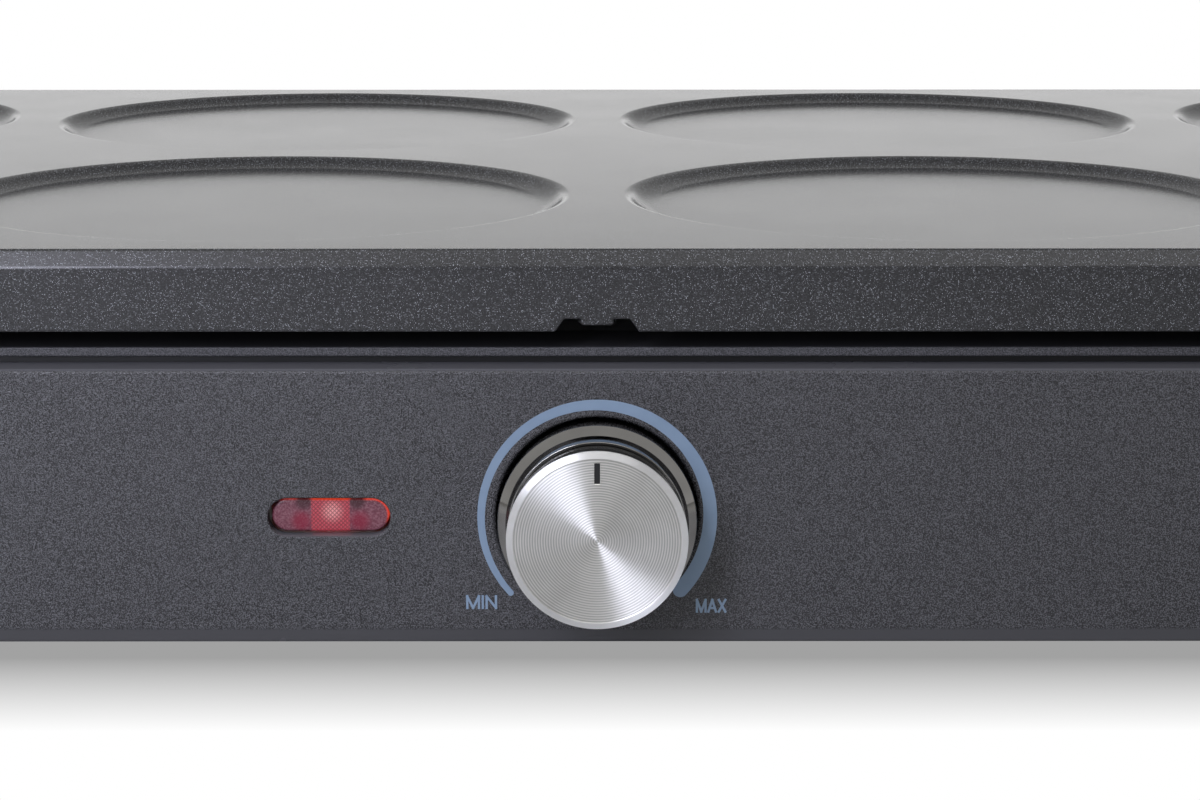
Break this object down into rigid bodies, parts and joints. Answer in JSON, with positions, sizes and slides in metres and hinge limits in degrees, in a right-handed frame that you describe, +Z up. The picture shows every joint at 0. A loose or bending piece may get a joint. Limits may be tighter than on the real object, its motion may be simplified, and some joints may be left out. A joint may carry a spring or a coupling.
{
  "type": "electric teppanyaki grill",
  "caption": "Countertop electric griddle with a lift-off cast plate of round pancake moulds on a charcoal base with a front thermostat knob, a red pilot light and end handles.",
  "frame": {"origin": "on the supporting surface under the middle of the whole part's outer box, knob, gland and handles included", "axes": "+X to the right along the long side seen from the front, +Y to the back, +Z up; the knob points to -Y"},
  "size_m": [0.613, 0.2898, 0.0723],
  "materials": {
    "plate_coating": "cast, dark grey non-stick coating with fine metallic flecks",
    "frame_plastic": "heat-resistant moulding, fine spark-eroded grain",
    "housing_plastic": "charcoal moulding, spark-eroded grain",
    "handle_plastic": "satin black moulding",
    "foot_rubber": "matte black",
    "knob_chrome": "bright nickel-chrome plating on a moulded body",
    "spun_aluminium": "turned concentric rings with a bright bevel",
    "pointer_black": "satin black",
    "lens_red": "translucent red",
    "holder_white": "off-white moulding",
    "lamp_glass": "clear glass, neon glow",
    "steatite": "unglazed off-white",
    "zinc_steel": "zinc plated",
    "reflector_steel": "aluminised sheet",
    "heater_sheath": "heat-darkened stainless tube",
    "copper": "bare copper",
    "brass": "bare brass",
    "thermostat_moulding": "cream phenolic moulding",
    "gland_plastic": "satin black",
    "lead_brown": "silicone sleeve",
    "lead_black": "silicone sleeve",
    "lead_blue": "silicone sleeve",
    "lead_green": "silicone sleeve",
    "lead_white": "silicone sleeve"
  },
  "bodies": {
    "base": {"plate_rests": "steatite", "plate_rest_screws": "zinc_steel", "top_frame": "frame_plastic", "frame_screws": "zinc_steel", "base_housing": "housing_plastic", "rubber_feet": "foot_rubber", "left_handle": "handle_plastic", "right_handle": "handle_plastic", "handle_screws": "zinc_steel", "reflector_pan": "reflector_steel", "pan_screws": "zinc_steel", "heating_element": "heater_sheath", "heater_end_beads": "steatite", "heater_pins": "zinc_steel", "heater_saddles": "reflector_steel", "sensor_bulb": "copper", "bulb_clips": "reflector_steel", "capillary_tube": "copper", "thermostat_body": "thermostat_moulding", "thermostat_plate": "zinc_steel", "thermostat_screws": "zinc_steel", "indicator_lens": "lens_red", "lamp_holder": "holder_white", "neon_lamp": "lamp_glass", "terminal_block": "holder_white", "terminal_screws": "brass", "cord_gland": "gland_plastic", "gland_nut": "gland_plastic", "earth_stud": "brass", "live_lead": "lead_brown", "switched_lead": "lead_black", "neutral_lead": "lead_blue", "earth_lead": "lead_green", "lamp_leads": "lead_white"},
    "plate": {"griddle_plate": "plate_coating"},
    "knob": {"knob_body": "knob_chrome", "knob_cap": "spun_aluminium", "knob_pointer": "pointer_black", "knob_clip": "zinc_steel", "thermostat_shaft": "zinc_steel"}
  },
  "joints": [
    {"name": "knob_turn", "type": "hinge", "parent": "base", "child": "knob", "pos_m": [0, -0.12765, 0.0262], "axis": [0, 1, 0], "range_deg": [-132, 132]},
    {"name": "plate_lift", "type": "slide", "parent": "base", "child": "plate", "axis": [0, 0, 1], "range_m": [0, 0.09]}
  ]
}
